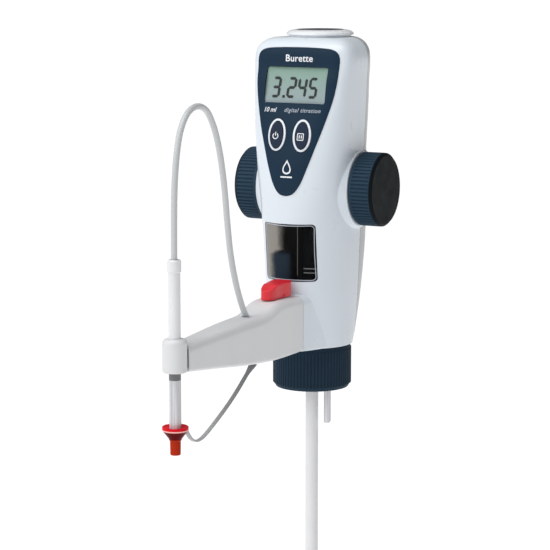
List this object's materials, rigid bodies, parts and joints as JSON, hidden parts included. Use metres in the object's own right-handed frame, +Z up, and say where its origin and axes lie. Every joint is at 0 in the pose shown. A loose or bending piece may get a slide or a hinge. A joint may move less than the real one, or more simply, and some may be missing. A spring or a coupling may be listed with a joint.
{
  "type": "digital bottle-top burette",
  "caption": "Bottle-top burette with a leaning display, two side handwheels, a window on the metering cylinder, a delivery arm with a hanging titrating tube, and a hose loop.",
  "frame": {"origin": "centre of the screw collar's bottom opening, on the thread axis", "axes": "+Z up along the bottle axis, -Y the side with the display and the delivery arm, X along the handwheel axis"},
  "size_m": [0.1052, 0.2411, 0.4142],
  "materials": {
    "white_shell": "satin",
    "arm_grey": "satin",
    "dark_blue": "matt, ribbed",
    "panel_navy": "smooth film",
    "pale_ring": "satin",
    "key_navy": "satin",
    "lcd": "grey-green display",
    "clear": "clear",
    "borosilicate": "clear",
    "red_knob": "satin",
    "red_cap": "gloss",
    "white_tube": "smooth",
    "clear_tube": "translucent",
    "dark_plastic": "matt",
    "strap_grey": "matt",
    "seal_white": "smooth",
    "steel": "turned",
    "ceramic": "polished ceramic",
    "brass": "plain",
    "board_green": "coated board",
    "cell": "sleeved cell"
  },
  "bodies": {
    "base": {"collar": "dark_blue"},
    "instrument": {"bottle_gasket": "seal_white", "valve_block": "seal_white", "inlet_valve_seat": "ceramic", "filling_tube_upper": "white_tube", "recirculation_tube": "clear_tube", "glass_cylinder": "borosilicate", "cylinder_nut": "dark_plastic", "rack_guide": "dark_plastic", "shaft_bushes": "seal_white", "encoder_sensor": "dark_plastic", "housing_front": "white_shell", "housing_rear": "white_shell", "housing_screws": "steel", "top_cap_ring": "white_shell", "top_cap_disc": "dark_plastic", "display_panel": "panel_navy", "lcd_glass": "clear", "lcd_module": "lcd", "button_rings": "pale_ring", "circuit_board": "board_green", "button_switches": "dark_plastic", "battery_tray": "dark_plastic", "batteries": "cell", "battery_contacts": "steel", "inspection_window": "clear", "vent_socket": "white_shell", "arm_shell": "arm_grey", "valve_body": "seal_white", "bar_guide": "dark_plastic", "strap_anchor": "strap_grey", "cap_strap": "strap_grey", "delivery_hose": "clear_tube", "hose_grommet": "arm_grey"},
    "drive": {"handwheel_left": "dark_blue", "handwheel_right": "dark_blue", "drive_shaft": "steel", "pinion": "brass", "encoder_disc": "dark_plastic"},
    "piston": {"piston_rack": "dark_plastic", "piston_head": "dark_plastic", "piston_seal": "seal_white"},
    "inlet_ball": {"inlet_ball": "ceramic"},
    "power_key": {"button_power": "key_navy"},
    "stop_key": {"button_stop": "key_navy"},
    "valve": {"valve_plug": "ceramic", "valve_knob": "red_knob"},
    "holder": {"extension_bar": "arm_grey", "tube_holder": "arm_grey"},
    "cannula": {"cannula_sleeve": "white_tube", "cannula_band": "dark_plastic", "cannula_tube": "clear_tube", "cannula_tip": "seal_white"},
    "tip_cap": {"tip_cap": "red_cap"},
    "battery_door": {"battery_door": "white_shell"},
    "filling_tube": {"filling_tube_lower": "clear_tube"},
    "vent_cap": {"vent_cap": "dark_blue"}
  },
  "joints": [
    {"name": "swivel", "type": "hinge", "parent": "base", "child": "instrument", "pos_m": [0, 0, 0.025], "axis": [0, 0, 1], "continuous": true},
    {"name": "handwheel_turn", "type": "hinge", "parent": "instrument", "child": "drive", "pos_m": [0, 0.0073, 0.1397], "axis": [-1, 0, 0], "range_deg": [0, 491.11]},
    {"name": "piston_travel", "type": "slide", "parent": "instrument", "child": "piston", "axis": [0, 0, 1], "range_m": [0, 0.06]},
    {"name": "inlet_ball_lift", "type": "slide", "parent": "instrument", "child": "inlet_ball", "axis": [0, 0, 1], "range_m": [0, 0.001]},
    {"name": "power_press", "type": "slide", "parent": "instrument", "child": "power_key", "axis": [0, 0.9724, -0.2334], "range_m": [0, 0.0008], "stiffness_N_per_m": 400},
    {"name": "stop_press", "type": "slide", "parent": "instrument", "child": "stop_key", "axis": [0, 0.9724, -0.2334], "range_m": [0, 0.0008], "stiffness_N_per_m": 400},
    {"name": "valve_turn", "type": "hinge", "parent": "instrument", "child": "valve", "pos_m": [0, -0.0545, 0.0706], "axis": [0, 0, 1], "range_deg": [0, 90]},
    {"name": "arm_extend", "type": "slide", "parent": "instrument", "child": "holder", "axis": [0, -1, 0], "range_m": [0, 0.026], "deforming": ["delivery_hose", "cap_strap"]},
    {"name": "tube_height", "type": "slide", "parent": "holder", "child": "cannula", "axis": [0, 0, 1], "range_m": [-0.04, 0.025]},
    {"name": "cap_pull", "type": "slide", "parent": "cannula", "child": "tip_cap", "axis": [0, 0, -1], "range_m": [0, 0.03]},
    {"name": "battery_door_off", "type": "slide", "parent": "instrument", "child": "battery_door", "axis": [0, 1, 0], "range_m": [0, 0.03]},
    {"name": "filling_tube_extend", "type": "slide", "parent": "instrument", "child": "filling_tube", "axis": [0, 0, -1], "range_m": [0, 0.13]},
    {"name": "vent_cap_off", "type": "slide", "parent": "instrument", "child": "vent_cap", "axis": [0, 1, 0], "range_m": [0, 0.02]}
  ],
  "couplings": [
    {"joint": "handwheel_turn", "follows": "piston_travel", "rad_per_m": 142.86}
  ]
}
